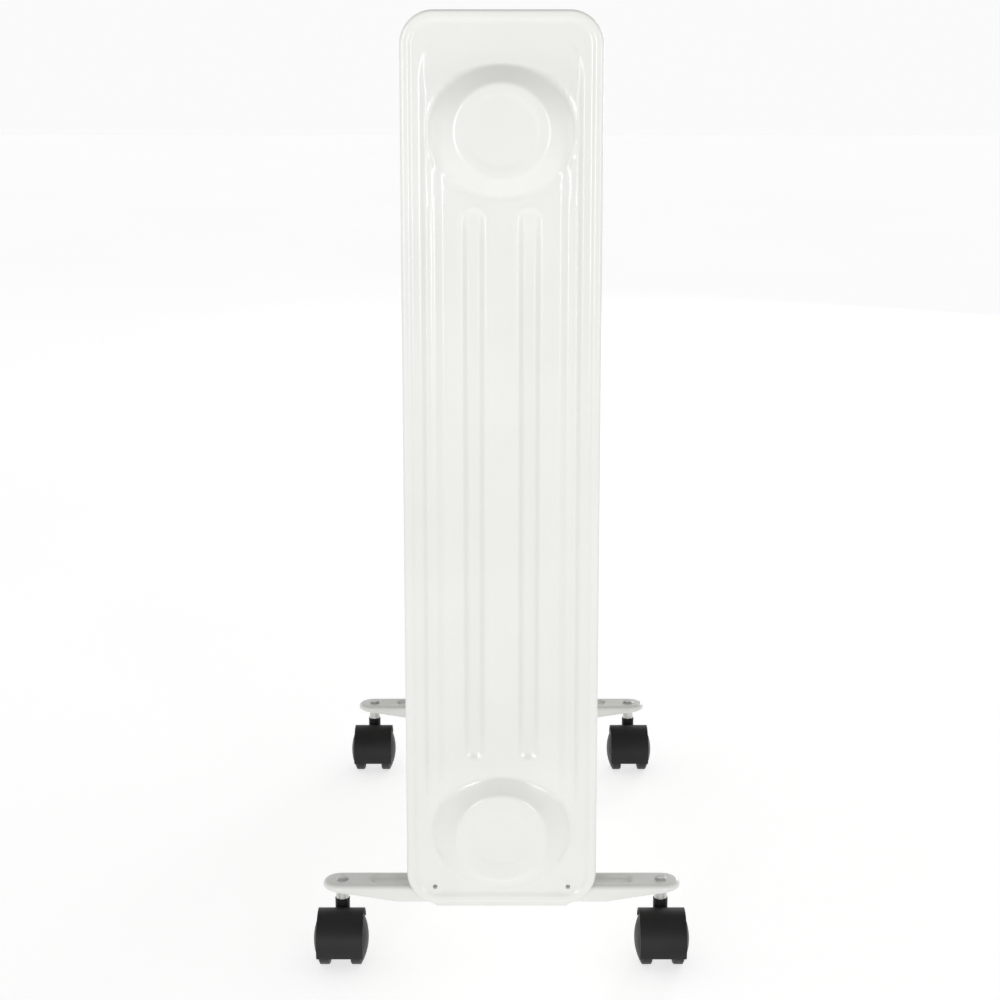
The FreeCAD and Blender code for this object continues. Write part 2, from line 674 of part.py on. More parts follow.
def control_housing():
    """Moulded cover, open towards the fins, with screw posts, vents and windows."""
    middle = (HOUSING_BOTTOM + HOUSING_TOP) / 2
    height = HOUSING_TOP - HOUSING_BOTTOM
    outer = rounded_plate(HOUSING_WIDTH, height, HOUSING_CORNER, HOUSING_FRONT, HOUSING_BACK, middle)
    rim = [e for e in outer.Edges if e.CenterOfMass.y > HOUSING_BACK - 0.01]
    outer = outer.makeFillet(HOUSING_FILLET, rim)
    wall = 2 * HOUSING_WALL
    inner_back = HOUSING_BACK - HOUSING_WALL
    corner = HOUSING_CORNER - HOUSING_WALL
    inner = rounded_plate(HOUSING_WIDTH - wall, height - wall, corner, HOUSING_FRONT, inner_back, middle)
    rim = [e for e in inner.Edges if e.CenterOfMass.y > inner_back - 0.01]
    inner = inner.makeFillet(HOUSING_FILLET - HOUSING_WALL, rim)
    posts = [rod_y(x, HOUSING_FRONT, inner_back, z, 4.5) for x, z in housing_screw_places()]
    shell = outer.cut(inner).fuse(posts)
    cuts = [rod_y(x, HOUSING_FRONT, HOUSING_FRONT + 18, z, SCREW_RADIUS) for x, z in housing_screw_places()]
    cuts.append(rod_y(0, HOUSING_BACK - 5, HOUSING_BACK + 1, KNOB_Z, 9))
    cuts.append(rod_y(0, HOUSING_BACK - 5, HOUSING_BACK + 1, LENS_Z, 5.5))
    cuts.append(rod_y(0, HOUSING_BACK - 5, HOUSING_BACK + 1, GLAND_Z, GLAND_NECK))
    for side in (-1, 1):
        x = side * SWITCH_X
        window = box(x - 8.5, x + 8.5, HOUSING_BACK - 5, HOUSING_BACK + 1, SWITCH_Z - 12, SWITCH_Z + 12)
        cuts.append(window)
    vent_front = HOUSING_FRONT + 16
    vent_back = HOUSING_BACK - 18
    for row in range(VENT_ROWS):
        z = HOUSING_BOTTOM + 60 + VENT_PITCH * row
        cuts.append(box(-HOUSING_WIDTH, HOUSING_WIDTH, vent_front, vent_back, z, z + VENT_HEIGHT))
    for column in range(-4, 5):
        x = VENT_PITCH * column
        half = VENT_HEIGHT / 2
        cuts.append(box(x - half, x + half, vent_front, vent_back, HOUSING_BOTTOM - 1, HOUSING_BOTTOM + 9))
    return shell.cut(cuts).removeSplitter().Solids[0]


def pan_screw(x, head_y, z, length, direction):
    """Self-tapping screw along Y: the head's underside is at head_y, the shank along direction."""
    tip = head_y + direction * length
    shank = rod_y(x, min(head_y, tip), max(head_y, tip), z, SCREW_RADIUS)
    crown = head_y - direction * 2.0
    head = rod_y(x, min(head_y, crown), max(head_y, crown), z, SCREW_HEAD)
    slot_low, slot_high = sorted((crown, crown + direction * 0.8))
    slot = box(x - 0.4, x + 0.4, slot_low, slot_high, z - 3, z + 3)
    return head.fuse(shank).cut(slot)


def write_housing():
    write("control_housing", control_housing())
    screws = []
    for x, z in housing_screw_places():
        screws.append(pan_screw(x, SHIELD_Y, z, 16, 1))
    for x, z in shield_feet():
        screws.append(pan_screw(x, LAST_SEAM + SHEET + SHIELD_SHEET, z, 6, -1))
    write("control_screws", *screws)


def write_panel():
    middle = (PANEL_BOTTOM + PANEL_TOP) / 2
    height = PANEL_TOP - PANEL_BOTTOM
    panel = rounded_plate(PANEL_WIDTH, height, 12, HOUSING_BACK, PANEL_FACE, middle)
    rim = [e for e in panel.Edges if e.CenterOfMass.y > PANEL_FACE - 0.01]
    panel = panel.makeFillet(1.4, rim)
    cuts = [
        rod_y(0, HOUSING_BACK - 1, PANEL_FACE + 1, KNOB_Z, SHAFT_RADIUS + 0.4),
        rod_y(0, HOUSING_BACK - 1, PANEL_FACE + 1, LENS_Z, 4.0),
    ]
    for side in (-1, 1):
        cuts.append(switch_block(side * SWITCH_X, HOUSING_BACK - 1, PANEL_FACE + 1))
    write("control_panel", panel.cut(cuts))


def switch_block(x, y0, y1):
    """Block with the outline of a switch's case."""
    low = SWITCH_Z - SWITCH_HALF_HEIGHT
    high = SWITCH_Z + SWITCH_HALF_HEIGHT
    return box(x - SWITCH_HALF_WIDTH, x + SWITCH_HALF_WIDTH, y0, y1, low, high)


def write_handle():
    """Grip bar on two legs, with the finger gap between them open front to back."""
    height = 2 * (HANDLE_TOP - HOUSING_TOP)
    outline = rounded_plate(2 * HANDLE_LEG_X, height, 17, HANDLE_FRONT, HANDLE_BACK, HOUSING_TOP)
    below = box(-90, 90, HANDLE_FRONT - 1, HANDLE_BACK + 1, 0, HOUSING_TOP)
    gap_height = 2 * (HANDLE_GAP_TOP - HOUSING_TOP - 2)
    gap = rounded_plate(2 * HANDLE_GAP_X, gap_height, 9, HANDLE_FRONT - 1, HANDLE_BACK + 1, HOUSING_TOP + 2)
    gap = gap.cut(box(-90, 90, HANDLE_FRONT - 2, HANDLE_BACK + 2, 0, HOUSING_TOP + 2))
    handle = outline.cut([below, gap])
    rims = []
    for edge in handle.Edges:
        middle = edge.CenterOfMass
        at_face = min(abs(middle.y - HANDLE_FRONT), abs(middle.y - HANDLE_BACK)) < 0.01
        if at_face and middle.z > HANDLE_GAP_TOP + 1:
            rims.append(edge)
    write("carry_handle", handle.makeFillet(5, rims))


# ---------------------------------------------------------------- controls


def write_thermostat():
    base = PANEL_FACE + KNOB_GAP
    top = LENGTH / 2
    skirt = rod_y(0, base, base + KNOB_SKIRT, KNOB_Z, KNOB_RADIUS)
    grip_at = vec(0, base + KNOB_SKIRT, KNOB_Z)
    grip = Part.makeCone(18.5, 17.0, top - base - KNOB_SKIRT, grip_at, Y_AXIS)
    grip = grip.makeFillet(1.5, [e for e in grip.Edges if e.CenterOfMass.y > top - 0.01])
    flutes = []
    for turn in range(18):
        angle = math.radians(20 * turn + 10)
        x = FLUTE_CIRCLE * math.cos(angle)
        z = KNOB_Z + FLUTE_CIRCLE * math.sin(angle)
        flutes.append(rod_y(x, base + KNOB_SKIRT, top + 1, z, 2.2))
    pointer = box(-1.0, 1.0, top - 0.8, top + 1, KNOB_Z + 6, KNOB_Z + 18)
    pointer.rotate(vec(0, 0, KNOB_Z), Y_AXIS, KNOB_REST_ANGLE)
    socket = rod_y(0, base, base + 11, KNOB_Z, SHAFT_RADIUS)
    knob = skirt.fuse(grip).cut(flutes + [pointer, socket])
    write("thermostat_knob", knob.removeSplitter())
    shaft_back = HOUSING_BACK - 22.0
    write("thermostat_shaft", rod_y(0, shaft_back, base + 11, KNOB_Z, SHAFT_RADIUS))
    body_face = HOUSING_BACK - HOUSING_WALL - 0.5
    body = box(-16, 16, body_face - 22, body_face - 4, KNOB_Z - 18, KNOB_Z + 18)
    bush = rod_y(0, body_face - 4, HOUSING_BACK, KNOB_Z, 6.0)
    bore = rod_y(0, shaft_back - 0.5, HOUSING_BACK + 1, KNOB_Z, SHAFT_RADIUS + RUNNING_CLEARANCE)
    write("thermostat_body", body.fuse(bush).cut(bore))


def rocker(x):
    """Rocker at its off position, tilted about the trunnions on its two sides."""
    y = ROCKER_PIVOT_Y
    z = SWITCH_Z
    profile = [(y + 4.4, z - 9), (y + 3.0, z), (y + 4.4, z + 9), (y - 4.5, z + 8.4), (y - 4.5, z - 8.4)]
    paddle = prism_x(profile, x - ROCKER_HALF_WIDTH, x + ROCKER_HALF_WIDTH)
    trunnions = rod_x(x - 7.1, x + 7.1, y, z, TRUNNION_RADIUS)
    tilted = paddle.fuse(trunnions)
    tilted.rotate(vec(x, y, z), X_AXIS, -SWITCH_TILT)
    return tilted


def switch_body(x):
    """Snap-in switch case with the bezel round the rocker."""
    y = ROCKER_PIVOT_Y
    z = SWITCH_Z
    case = switch_block(x, y - 20, PANEL_FACE)
    bezel = box(x - 8.8, x + 8.8, PANEL_FACE, PANEL_FACE + 1.5, z - 12.6, z + 12.6)
    cavity = box(x - 6.8, x + 6.8, y - 7.5, PANEL_FACE + 2, z - 10.0, z + 10.0)
    sockets = rod_x(x - 7.3, x + 7.3, y, z, TRUNNION_RADIUS + RUNNING_CLEARANCE)
    return case.fuse(bezel).cut([cavity, sockets]).removeSplitter()


def write_switches():
    for name, x in (("low", -SWITCH_X), ("high", SWITCH_X)):
        write("rocker_" + name, rocker(x))
        write("switch_body_" + name, switch_body(x))


def write_lens():
    stem = rod_y(0, HOUSING_BACK - 8, PANEL_FACE, LENS_Z, 4.0)
    dome = Part.makeSphere(6.0, vec(0, PANEL_FACE - 3.6, LENS_Z))
    dome = dome.common(box(-9, 9, PANEL_FACE, PANEL_FACE + 9, LENS_Z - 9, LENS_Z + 9))
    write("indicator_lens", stem.fuse(dome))


def write_tip_over_switch():
    """Weighted pendulum between two cheeks: it swings on its pin when the heater tips."""
    y = TIP_OVER_Y
    z = TIP_OVER_Z
    base_y = HOUSING_FRONT + 2
    inner_x = TIP_OVER_CHEEK_X
    outer_x = TIP_OVER_CHEEK_X + 3
    back = box(-outer_x, outer_x, base_y, base_y + 3, z - 30, z + 10)
    cheeks = [
        box(-outer_x, -inner_x, base_y + 3, y + 14, z - 30, z + 10),
        box(inner_x, outer_x, base_y + 3, y + 14, z - 30, z + 10),
    ]
    pin = rod_x(-outer_x, outer_x, y, z, TIP_OVER_PIN)
    write("tip_over_housing", back.fuse(cheeks + [pin]).removeSplitter())
    eye = rod_x(-4, 4, y, z, 4)
    arm = box(-1.5, 1.5, y - 2, y + 2, z - 14, z)
    weight = rod_x(-8, 8, y, z - 18, 6)
    pendulum = eye.fuse([arm, weight]).cut(rod_x(-9, 9, y, z, TIP_OVER_PIN + RUNNING_CLEARANCE))
    write("tip_over_pendulum", pendulum.removeSplitter())


def write_electrics():
    """Thermal cut-out against the heat shield, and the mains terminal block."""
    face = SHIELD_Y + SHIELD_SHEET
    can = rod_y(0, face, face + 7, CUTOUT_Z, CUTOUT_RADIUS)
    plate = box(-14, 14, face, face + 1.2, CUTOUT_Z - 5, CUTOUT_Z + 5)
    tabs = box(-6.5, 6.5, face + 7, face + 9, CUTOUT_Z - 3, CUTOUT_Z + 3)
    write("thermal_cutout", can.fuse([plate, tabs]).removeSplitter())
    block = box(-52, -22, face, face + 18, BLOCK_Z - 12, BLOCK_Z + 12)
    ports = []
    for x in TERMINAL_XS:
        ports.append(rod_z(x, face + 10, BLOCK_Z - 13, BLOCK_Z + 13, 2.5))
        ports.append(rod_y(x, face + 12, face + 19, BLOCK_Z, 1.8))
    write("terminal_block", block.cut(ports))


def write_wires():
    """Insulated wires from the block to the thermostat and cut-out, and from switches to elements."""
    face = SHIELD_Y + SHIELD_SHEET
    lane = face + 26.0
    block_y = face + 10
    element_end = FLANGE_BACK + 18.2
    low_z = LOWER_BOSS_Z - ELEMENT_RISE
    high_z = LOWER_BOSS_Z + ELEMENT_RISE
    switch_back = ROCKER_PIVOT_Y - 20.4
    thermostat_side = HOUSING_BACK - HOUSING_WALL - 14.0
    live_x, neutral_x, _ = TERMINAL_XS
    block_top = BLOCK_Z + 13
    knob_side = -16.2
    cutout_side = -CUTOUT_RADIUS - 0.1
    to_thermostat = [
        (live_x, block_y, block_top),
        (live_x, block_y, 165),
        (-45, lane, 190),
        (-45, lane, 420),
        (-35, thermostat_side, KNOB_Z),
        (knob_side, thermostat_side, KNOB_Z),
    ]
    to_cutout = [
        (neutral_x, block_y, block_top),
        (neutral_x, block_y, 152),
        (-24, face + 5, CUTOUT_Z),
        (cutout_side, face + 5, CUTOUT_Z),
    ]
    to_long_element = [
        (-SWITCH_X, switch_back, 522),
        (-SWITCH_X, switch_back - 9, 522),
        (-40, lane, 478),
        (-38, lane, 190),
        (-18, element_end + 16, 110),
        (-ELEMENT_LEG_X, element_end + 12, low_z),
        (-ELEMENT_LEG_X, element_end, low_z),
    ]
    to_short_element = [
        (SWITCH_X, switch_back, 522),
        (SWITCH_X, switch_back - 9, 522),
        (40, lane, 478),
        (38, lane, 190),
        (18, element_end + 16, 120),
        (ELEMENT_LEG_X, element_end + 12, high_z),
        (ELEMENT_LEG_X, element_end, high_z),
    ]
    routes = (to_thermostat, to_cutout, to_long_element, to_short_element)
    wires = [tube(round_path([vec(*point) for point in route]), WIRE_RADIUS) for route in routes]
    write("wire_loom", *wires)


# ---------------------------------------------------------------- cord fittings


def write_cord_fittings():
    flange = rod_y(0, HOUSING_BACK, HOUSING_BACK + 3, GLAND_Z, 12)
    flange = flange.makeFillet(1.0, [e for e in flange.Edges if e.CenterOfMass.y > HOUSING_BACK + 2.9])
    neck = rod_y(0, HOUSING_BACK - 9, HOUSING_BACK, GLAND_Z, GLAND_NECK)
    bore = rod_y(0, HOUSING_BACK - 10, HOUSING_BACK + 4, GLAND_Z, GLAND_BORE)
    write("cord_gland", flange.fuse(neck).cut(bore).removeSplitter())
    hooks = []
    for z, away in zip(HOOK_ZS, (-1, 1)):
        half = HOOK_HALF_WIDTH
        tip = HOUSING_BACK + HOOK_REACH
        arm_low, arm_high = sorted((z, z + away * 5))
        lip_low, lip_high = sorted((z, z + away * 22))
        arm = box(-half, half, HOUSING_BACK, tip, arm_low, arm_high)
        lip = box(-half, half, tip - HOOK_SHEET, tip, lip_low, lip_high)
        hooks.append(arm.fuse(lip).removeSplitter())
    write("cord_hooks", *hooks)


os.makedirs("parts", exist_ok=True)
write_fins()
write_filler_plug()
write_elements()
write_feet()
write_casters()
write_heat_shield()
write_housing()
write_panel()
write_handle()
write_thermostat()
write_switches()
write_lens()
write_tip_over_switch()
write_electrics()
write_wires()
write_cord_fittings()
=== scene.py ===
import json
import math

import bmesh
import bpy
import numpy as np
from mathutils import Matrix, Vector


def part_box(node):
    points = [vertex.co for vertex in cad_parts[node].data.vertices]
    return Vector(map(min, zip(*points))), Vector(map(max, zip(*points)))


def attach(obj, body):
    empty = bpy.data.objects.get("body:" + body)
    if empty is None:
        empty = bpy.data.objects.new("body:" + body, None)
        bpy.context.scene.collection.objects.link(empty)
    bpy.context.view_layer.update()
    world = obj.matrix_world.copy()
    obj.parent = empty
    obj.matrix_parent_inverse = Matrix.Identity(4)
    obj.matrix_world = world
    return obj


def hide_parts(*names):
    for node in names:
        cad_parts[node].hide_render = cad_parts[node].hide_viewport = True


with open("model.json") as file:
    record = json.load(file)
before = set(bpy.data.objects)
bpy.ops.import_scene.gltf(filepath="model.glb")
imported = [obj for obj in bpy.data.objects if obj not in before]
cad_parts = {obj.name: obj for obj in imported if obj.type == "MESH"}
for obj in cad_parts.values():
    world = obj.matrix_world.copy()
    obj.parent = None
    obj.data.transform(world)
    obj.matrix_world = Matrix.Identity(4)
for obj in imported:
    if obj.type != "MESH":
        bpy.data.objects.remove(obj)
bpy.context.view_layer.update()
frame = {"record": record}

MM = 0.001


# ---------------------------------------------------------------- sizes, places and colours

# the fins as the frame has them
FIN_COUNT = 11
FIN_BOXES = [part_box("fin_%02d" % n) for n in range(1, FIN_COUNT + 1)]
MIDDLE_LOW, MIDDLE_HIGH = FIN_BOXES[1]
FIN_HALF_WIDTH = MIDDLE_HIGH[0] / MM
FIN_BOTTOM = MIDDLE_LOW[2] / MM
FIN_TOP = MIDDLE_HIGH[2] / MM
FIN_MIDDLE = (FIN_BOTTOM + FIN_TOP) / 2
FIN_HALF_HEIGHT = (FIN_TOP - FIN_BOTTOM) / 2
SEAM_2 = (MIDDLE_LOW[1] + MIDDLE_HIGH[1]) / 2
PITCH = MIDDLE_HIGH[1] - MIDDLE_LOW[1]
BOSS_DEPTH = PITCH / 2 / MM
END_BOSS_DEPTH = (SEAM_2 - PITCH - FIN_BOXES[0][0][1]) / MM

# millimetres, measured on a fin's face
FIN_CORNER = 21.0
FLANGE = 0.7
THINNEST = 0.3
RIM = 1.9
RIM_BAND = 5.0
RIM_BLEND = (4.6, 7.4)
CHAMBER = 5.5
OUTER_STEP = (50.4, 46.6)
OUTER_SHARE = 0.56
INNER_STEP = (41.8, 37.0)
# height, distance from the fin's centre line, and width of each line along the chamber's side
CREASES = ((0.07, 44.9, 0.8), (-0.05, 46.9, 0.7), (0.06, 38.0, 0.7), (-0.05, 36.0, 0.8))
RIDGE = (0.13, 48.2, 1.7)
STEPS_TURN_IN = 0.012
STEPS_TURN_FROM = 585.0
# heights between which the chamber, its steps and its ridge fade out
CHAMBER_FOOT = (98.0, 146.0)
OUTER_STEP_TOP = (605.0, 562.0)
INNER_STEP_TOP = (580.0, 530.0)
RIDGE_TOP = (607.0, 597.0)
UPPER_BOSS = 554.0
LOWER_BOSS = 94.5
BOSS_GRID = 49.5
DISC = 29.4
# centre, half width and half height of each boss's skirt; centre and radius of each dish
SKIRTS = ((UPPER_BOSS, 46.5, 40.6), (LOWER_BOSS, 47.0, 41.0))
DISHES = ((UPPER_BOSS, 22.5), (LOWER_BOSS, 17.8))
DISH_DEPTH = 0.3
DISH_EDGE = 1.8
SKIRT_CREASE = 0.3
SKIRT_SIDE_CREASE = 0.7
SKIRT_SIDES = (26.0, 42.0)
END_BOSS_LIMIT = 15.0
GROOVE_X = 17.5
GROOVE_DEPTH = 3.1
GROOVE_ENDS = (148.0, 506.0)
GROOVE_ROUND = 6.5
GROOVE_LIP = 0.25
GROOVE_LIP_RADIUS = 8.2
GROOVE_WALL = (7.2, 3.3)
GROOVE_FADE = (-6.0, 24.0)
GROOVE_END_SHARE = 0.35
FIXING_X = 44.0
FIXING_Z = 56.5
FIXING_RADIUS = 1.5
DIMPLE_HEIGHT = 0.55
DIMPLE_OUTSIDE = (5.2, 2.9)
DIMPLE_INSIDE = (0.8, 2.4)
FINE = 1.15
COARSE = 2.3

# millimetres, measured on a foot
FOOT_HALF_LENGTH = 120.0
FOOT_HALF_WIDTH = 12.0
FOOT_TOP = 52.7
FOOT_SHEET = 1.5
FOOT_SHOULDER = 2.8
SHOULDER_STEPS = 6
# height of the skirt's lower edge at each distance from the foot's middle
SKIRT_STATIONS = (0, 44, 46.8, 70, 104, 121)
SKIRT_EDGES = (39, 39, 42, 42, 47.5, 49.5)
RIB_RUN = 82.2
RIB_DEPTH = 1.6
# half width of the rib and how far it has dropped there, on the sheet's upper and lower face
RIB_ABOVE = ((7.2, 0.0), (6.2, 0.12), (5.3, 0.6), (4.5, 1.2), (3.7, 1.52), (2.6, RIB_DEPTH))
RIB_BELOW = ((4.6, RIB_DEPTH), (6.0, 1.2), (7.2, 0.3), (8.2, 0.0))
TAB_HALF_WIDTH = 26.0
TAB_STEP = 2.0
TAB_HEIGHT = 18.0
TAB_DEPTHS = (-3.8, 2.3)
SADDLE_RADIUS = 34.3

# camera, light and floor: metres and degrees, with the lens and the sensor in millimetres
CAMERA_PLACE = (-0.001, -1.4414, 0.623)
CAMERA_PITCH = 11.2
CAMERA_LENS = 69.804
CAMERA_SHIFT = -0.10
SENSOR_WIDTH = 36.0
CEILING = 0.42
SKY_FRONT = 0.55
SKY_BACK = 0.96
FLOOR_REACH = 9.0
FLOOR_GLOW = 0.69
# name, place, the point it faces, size, power in watts
SOFT_BOXES = (
    ("front_left", (-0.85, -2.5, 0.5), (0.0, -0.24, 0.35), (0.35, 0.9), 9.3),
    ("front_right", (1.0, -2.4, 0.45), (0.0, -0.24, 0.35), (0.35, 0.9), 6.6),
    ("rear", (1.2, 2.4, 0.8), (0.0, 0.2, 0.35), (0.8, 1.0), 13.0),
)

# metres and degrees, marks on the control panel
SCALE_START = 225.0
SCALE_SWEEP = 270.0
TICKS = 10
TICK_REACH = 0.0305
WEDGE_BARS = 54
WEDGE_REACH = 0.0335
MARK_WIDTH = 0.0009
MARK_LENGTH = 0.0045
MARK_HEIGHT = 0.0002

# metres, the radius that a material gives to sharp edges
EDGE = 0.0003
SOFT_EDGE = 0.0008

# the darker and the lighter colour of each material
ENAMEL_WHITE = (0.79, 0.789, 0.758), (0.825, 0.824, 0.794)
BLACK = (0.008, 0.0083, 0.0083), (0.013, 0.0134, 0.0134)
WHEEL_BLACK = (0.008, 0.008, 0.0083), (0.014, 0.014, 0.0144)
SHELL_WHITE = (0.70, 0.70, 0.675), (0.735, 0.735, 0.712)
PANEL_GREY = (0.035, 0.037, 0.04), (0.05, 0.052, 0.056)
GRIP_GREY = (0.03, 0.031, 0.034), (0.045, 0.046, 0.05)
SWITCH_BLACK = (0.012, 0.012, 0.013), (0.02, 0.02, 0.022)
RUBBER = (0.012, 0.012, 0.012), (0.022, 0.022, 0.022)
CREAM = (0.6, 0.57, 0.48), (0.7, 0.67, 0.58)
WIRE_RED = (0.3, 0.05, 0.03), (0.42, 0.08, 0.05)
ZINC = (0.5, 0.5, 0.48), (0.66, 0.66, 0.64)
SHEATH = (0.22, 0.2, 0.18), (0.38, 0.34, 0.3)
BRASS = (0.62, 0.43, 0.18), (0.74, 0.55, 0.27)
PALE_BRASS = (0.66, 0.5, 0.24), (0.8, 0.66, 0.38)
NICKEL = (0.6, 0.6, 0.61), (0.76, 0.76, 0.77)
SPANGLE = (0.45, 0.46, 0.47), (0.62, 0.63, 0.64)
AMBER = (0.75, 0.13, 0.02), (0.9, 0.22, 0.04)
FLOOR_GREY = (0.5, 0.5, 0.5), (0.52, 0.52, 0.52)


def seam(number):
    return SEAM_2 + (number - 2) * PITCH


# ---------------------------------------------------------------- small helpers


def ramp(start, end, value):
    """0 before start, 1 past end, with a smooth rise between; start may be the larger."""
    t = np.clip((value - start) / (end - start), 0.0, 1.0)
    return t * t * (3.0 - 2.0 * t)


def place_mesh(name, mesh):
    piece = bpy.data.objects.new(name, mesh)
    bpy.context.scene.collection.objects.link(piece)
    return piece


def new_object(name, vertices, faces, smooth=True):
    mesh = bpy.data.meshes.new(name)
    mesh.from_pydata([tuple(v) for v in vertices], [], faces)
    mesh.validate()
    mesh.update()
    tidy_normals(mesh)
    for polygon in mesh.polygons:
        polygon.use_smooth = smooth
    return place_mesh(name, mesh)


def tidy_normals(mesh):
    work = bmesh.new()
    work.from_mesh(mesh)
    bmesh.ops.remove_doubles(work, verts=work.verts, dist=1e-7)
    bmesh.ops.recalc_face_normals(work, faces=work.faces)
    work.to_mesh(mesh)
    work.free()


def crease(mesh, degrees):
    """Mark edges sharper than the angle, so that smooth shading stops at them."""
    work = bmesh.new()
    work.from_mesh(mesh)
    limit = math.radians(degrees)
    for edge in work.edges:
        edge.smooth = len(edge.link_faces) == 2 and edge.calc_face_angle(0) < limit
    work.to_mesh(mesh)
    work.free()


def finish_piece(piece, body, material, nodes=()):
    piece.data.materials.clear()
    piece.data.materials.append(material)
    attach(piece, body)
    if nodes:
        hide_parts(*nodes)
    return piece


def cut_away(piece, cutter):
    """Take the cutter's volume out of a piece, and delete the cutter."""
    modifier = piece.modifiers.new("cut", "BOOLEAN")
    modifier.object = cutter
    modifier.operation = "DIFFERENCE"
    modifier.solver = "EXACT"
    graph = bpy.context.evaluated_depsgraph_get()
    mesh = bpy.data.meshes.new_from_object(piece.evaluated_get(graph))
    piece.modifiers.remove(modifier)
    old = piece.data
    piece.data = mesh
    mesh.name = old.name
    bpy.data.meshes.remove(old)
    bpy.data.objects.remove(cutter)


# ---------------------------------------------------------------- materials


class Shader:
    """A material whose nodes are added one by one; .surface is its Principled shader."""

    def __init__(self, name, roughness=0.5, metallic=0.0):
        self.material = bpy.data.materials.new(name)
        self.material.use_nodes = True
        tree = self.material.node_tree
        self.nodes, self.links = tree.nodes, tree.links
        self.surface = self.nodes["Principled BSDF"]
        self.surface.inputs["Roughness"].default_value = roughness
        self.surface.inputs["Metallic"].default_value = metallic
        self.coords = self.nodes.new("ShaderNodeTexCoord").outputs["Object"]
        self.normal = None

    def noise(self, scale, detail=3.0, stretch=None):
        texture = self.nodes.new("ShaderNodeTexNoise")
        texture.inputs["Scale"].default_value = scale
        texture.inputs["Detail"].default_value = detail
        source = self.coords
        if stretch:
            mapping = self.nodes.new("ShaderNodeMapping")
            mapping.inputs["Scale"].default_value = stretch
            self.links.new(source, mapping.inputs["Vector"])
            source = mapping.outputs["Vector"]
        self.links.new(source, texture.inputs["Vector"])
        return texture.outputs["Fac"]

    def colour(self, factor, low, high, start=0.35, end=0.65):
        blend = self.nodes.new("ShaderNodeValToRGB")
        blend.color_ramp.elements[0].position = start
        blend.color_ramp.elements[1].position = end
        blend.color_ramp.elements[0].color = (*low, 1.0)
        blend.color_ramp.elements[1].color = (*high, 1.0)
        self.links.new(factor, blend.inputs["Fac"])
        self.links.new(blend.outputs["Color"], self.surface.inputs["Base Color"])

    def roughness(self, factor, low, high):
        spread = self.nodes.new("ShaderNodeMapRange")
        spread.inputs["From Min"].default_value = 0.3
        spread.inputs["From Max"].default_value = 0.7
        spread.inputs["To Min"].default_value = low
        spread.inputs["To Max"].default_value = high
        self.links.new(factor, spread.inputs["Value"])
        self.links.new(spread.outputs["Result"], self.surface.inputs["Roughness"])

    def bump(self, height, distance, strength=1.0):
        node = self.nodes.new("ShaderNodeBump")
        node.inputs["Distance"].default_value = distance
        node.inputs["Strength"].default_value = strength
        self.links.new(height, node.inputs["Height"])
        if self.normal:
            self.links.new(self.normal, node.inputs["Normal"])
        self.normal = node.outputs["Normal"]
        self.links.new(self.normal, self.surface.inputs["Normal"])

    def round_edges(self, radius):
        node = self.nodes.new("ShaderNodeBevel")
        node.samples = 4
        node.inputs["Radius"].default_value = radius
        self.normal = node.outputs["Normal"]
        self.links.new(self.normal, self.surface.inputs["Normal"])


def enamel(name, edges=0.0):
    """Baked white gloss enamel with a slight orange peel over wavy pressed sheet."""
    shader = Shader(name, roughness=0.2)
    if edges:
        shader.round_edges(edges)
    shader.colour(shader.noise(9.0), *ENAMEL_WHITE)
    shader.roughness(shader.noise(40.0), 0.20, 0.27)
    shader.bump(shader.noise(14.0, 1.0), 0.0006, 0.25)
    shader.bump(shader.noise(620.0, 2.0), 0.00003, 0.35)
    shader.surface.inputs["Coat Weight"].default_value = 0.25
    shader.surface.inputs["Coat Roughness"].default_value = 0.08
    return shader.material


def moulded(name, low, high, roughness, grain=2600.0, depth=0.00004, edges=EDGE, gloss=0.5):
    """Moulded plastic with a fine spark-eroded grain."""
    shader = Shader(name, roughness=roughness)
    shader.round_edges(edges)
    shader.colour(shader.noise(30.0), low, high)
    shader.roughness(shader.noise(55.0), roughness - 0.06, roughness + 0.07)
    shader.bump(shader.noise(grain, 1.0), depth, 0.5)
    shader.surface.inputs["Specular IOR Level"].default_value = gloss
    return shader.material


def metal(name, low, high, roughness, stretch=(1.0, 1.0, 12.0)):
    """Plated or drawn metal with streaks along its length."""
    shader = Shader(name, roughness=roughness, metallic=1.0)
    shader.round_edges(EDGE)
    shader.colour(shader.noise(120.0, 4.0), low, high)
    shader.roughness(shader.noise(300.0, 3.0, stretch), roughness - 0.1, roughness + 0.12)
    shader.bump(shader.noise(700.0, 2.0, stretch), 0.00003, 0.4)
    return shader.material


def spangled_zinc():
    """Galvanised sheet: crystals of slightly different greys."""
    shader = Shader("galvanised_sheet", roughness=0.38, metallic=0.6)
    cells = shader.nodes.new("ShaderNodeTexVoronoi")
    cells.inputs["Scale"].default_value = 110.0
    shader.links.new(shader.coords, cells.inputs["Vector"])
    grey = shader.nodes.new("ShaderNodeSeparateColor")
    shader.links.new(cells.outputs["Color"], grey.inputs["Color"])
    shader.colour(grey.outputs["Red"], *SPANGLE, 0.0, 1.0)
    shader.roughness(grey.outputs["Green"], 0.3, 0.48)
    return shader.material


def amber_lens():
    shader = Shader("amber_lens", roughness=0.1)
    shader.colour(shader.noise(60.0), *AMBER)
    shader.bump(shader.noise(900.0, 1.0), 0.00005, 0.3)
    shader.surface.inputs["Transmission Weight"].default_value = 0.35
    shader.surface.inputs["IOR"].default_value = 1.49
    return shader.material


